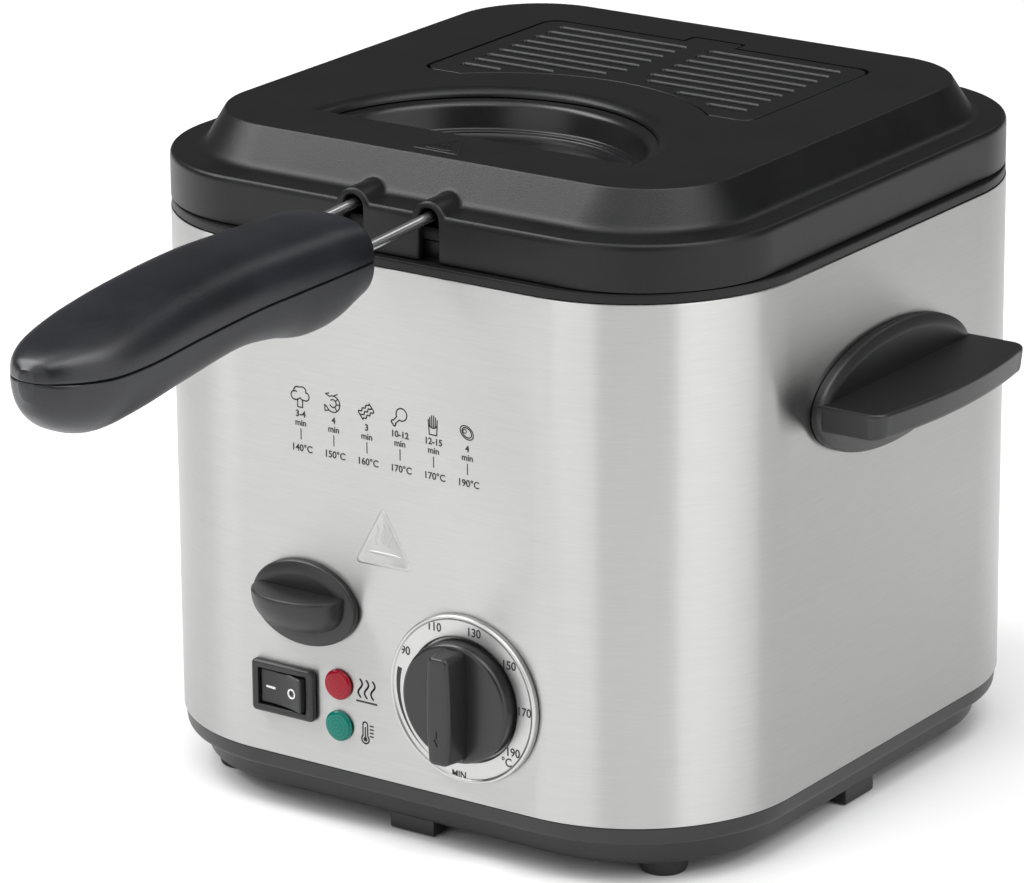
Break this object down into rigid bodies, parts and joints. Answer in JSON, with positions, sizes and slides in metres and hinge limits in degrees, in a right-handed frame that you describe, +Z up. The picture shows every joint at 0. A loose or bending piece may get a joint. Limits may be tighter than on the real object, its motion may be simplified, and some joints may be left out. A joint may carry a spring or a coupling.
{
  "type": "deep fryer",
  "caption": "Compact square deep fryer: brushed steel body on a black base, lift-off lid with filter grille and finger recess, basket on a plug-in handle, dial, rocker switch and side grips.",
  "frame": {"origin": "centre of the bounding box in plan, on the surface that the rubber feet stand on", "axes": "+Z up, -Y towards the front with the controls and the basket handle, +X to the right seen from the front"},
  "size_m": [0.2628, 0.3776, 0.2064],
  "materials": {
    "steel": "horizontally brushed",
    "satin_metal": "satin, spun",
    "black_plastic": "fine moulded texture",
    "lid_plastic": "satin with a fine grain",
    "grip_plastic": "satin, slightly bluish black",
    "foot_rubber": "matt",
    "seal_rubber": "silicone, matt",
    "chrome_wire": "polished",
    "pot_coating": "non-stick, semi-gloss",
    "aluminium": "bare",
    "heater_sheath": "oxidised",
    "brass": "bare",
    "board": "printed board",
    "ceramic": "glazed",
    "smoked_window": "smoked, polished",
    "filter_wool": "felted",
    "red_lens": "clear moulded",
    "green_lens": "clear moulded",
    "zinc_screw": "zinc plated"
  },
  "bodies": {
    "housing": {"housing_shell": "steel", "base_tray": "black_plastic", "top_rim": "black_plastic", "rim_seal": "seal_rubber", "inner_pot": "pot_coating", "heater_plate": "aluminium", "heating_element": "heater_sheath", "heat_shield": "aluminium", "thermostat_body": "ceramic", "capillary_sensor": "brass", "thermal_cutout": "ceramic", "terminal_block": "ceramic", "indicator_board": "board", "cord_gland": "black_plastic", "dial_bezel": "satin_metal", "lamp_red": "red_lens", "lamp_green": "green_lens", "rocker_housing": "black_plastic", "front_grip": "black_plastic", "front_grip_screw_left": "zinc_screw", "front_grip_screw_right": "zinc_screw", "side_handle_right": "black_plastic", "side_handle_left": "black_plastic", "side_screw_right_front": "zinc_screw", "side_screw_right_rear": "zinc_screw", "side_screw_left_front": "zinc_screw", "side_screw_left_rear": "zinc_screw", "rubber_foot_front_left": "foot_rubber", "rubber_foot_front_right": "foot_rubber", "rubber_foot_rear_left": "foot_rubber", "rubber_foot_rear_right": "foot_rubber", "base_screw_1": "zinc_screw", "shield_post_1": "aluminium", "base_screw_2": "zinc_screw", "shield_post_2": "aluminium", "base_screw_3": "zinc_screw", "shield_post_3": "aluminium", "base_screw_4": "zinc_screw", "shield_post_4": "aluminium"},
    "rocker": {"rocker_button": "black_plastic"},
    "knob": {"thermostat_knob": "black_plastic", "thermostat_shaft": "brass"},
    "basket": {"basket_mesh": "chrome_wire", "basket_rim": "chrome_wire", "handle_socket": "chrome_wire"},
    "handle": {"handle_rods": "chrome_wire", "grip_upper": "grip_plastic", "grip_lower": "grip_plastic", "grip_screw": "zinc_screw"},
    "lid": {"lid_shell": "lid_plastic", "window_pane": "smoked_window", "filter_tray": "black_plastic", "grease_filter": "aluminium", "charcoal_filter": "filter_wool"},
    "filter_cover": {"filter_cover": "lid_plastic"}
  },
  "joints": [
    {"name": "basket_lift", "type": "slide", "parent": "housing", "child": "basket", "axis": [0, 0, 1], "range_m": [0, 0.12]},
    {"name": "lid_lift", "type": "slide", "parent": "basket", "child": "lid", "axis": [0, 0, 1], "range_m": [0, 0.08]},
    {"name": "handle_pull", "type": "slide", "parent": "basket", "child": "handle", "axis": [0, -0.9986, -0.0523], "range_m": [0, 0.045]},
    {"name": "filter_cover_hinge", "type": "hinge", "parent": "lid", "child": "filter_cover", "pos_m": [0, 0.0798, 0.2055], "axis": [1, 0, 0], "range_deg": [0, 80]},
    {"name": "rocker_tilt", "type": "hinge", "parent": "housing", "child": "rocker", "pos_m": [-0.0384, -0.0277, 0.0409], "axis": [0, 0, 1], "range_deg": [0, 18]},
    {"name": "knob_turn", "type": "hinge", "parent": "housing", "child": "knob", "pos_m": [0.0271, -0.0275, 0.0517], "axis": [0, 1, 0], "range_deg": [0, 300]}
  ]
}
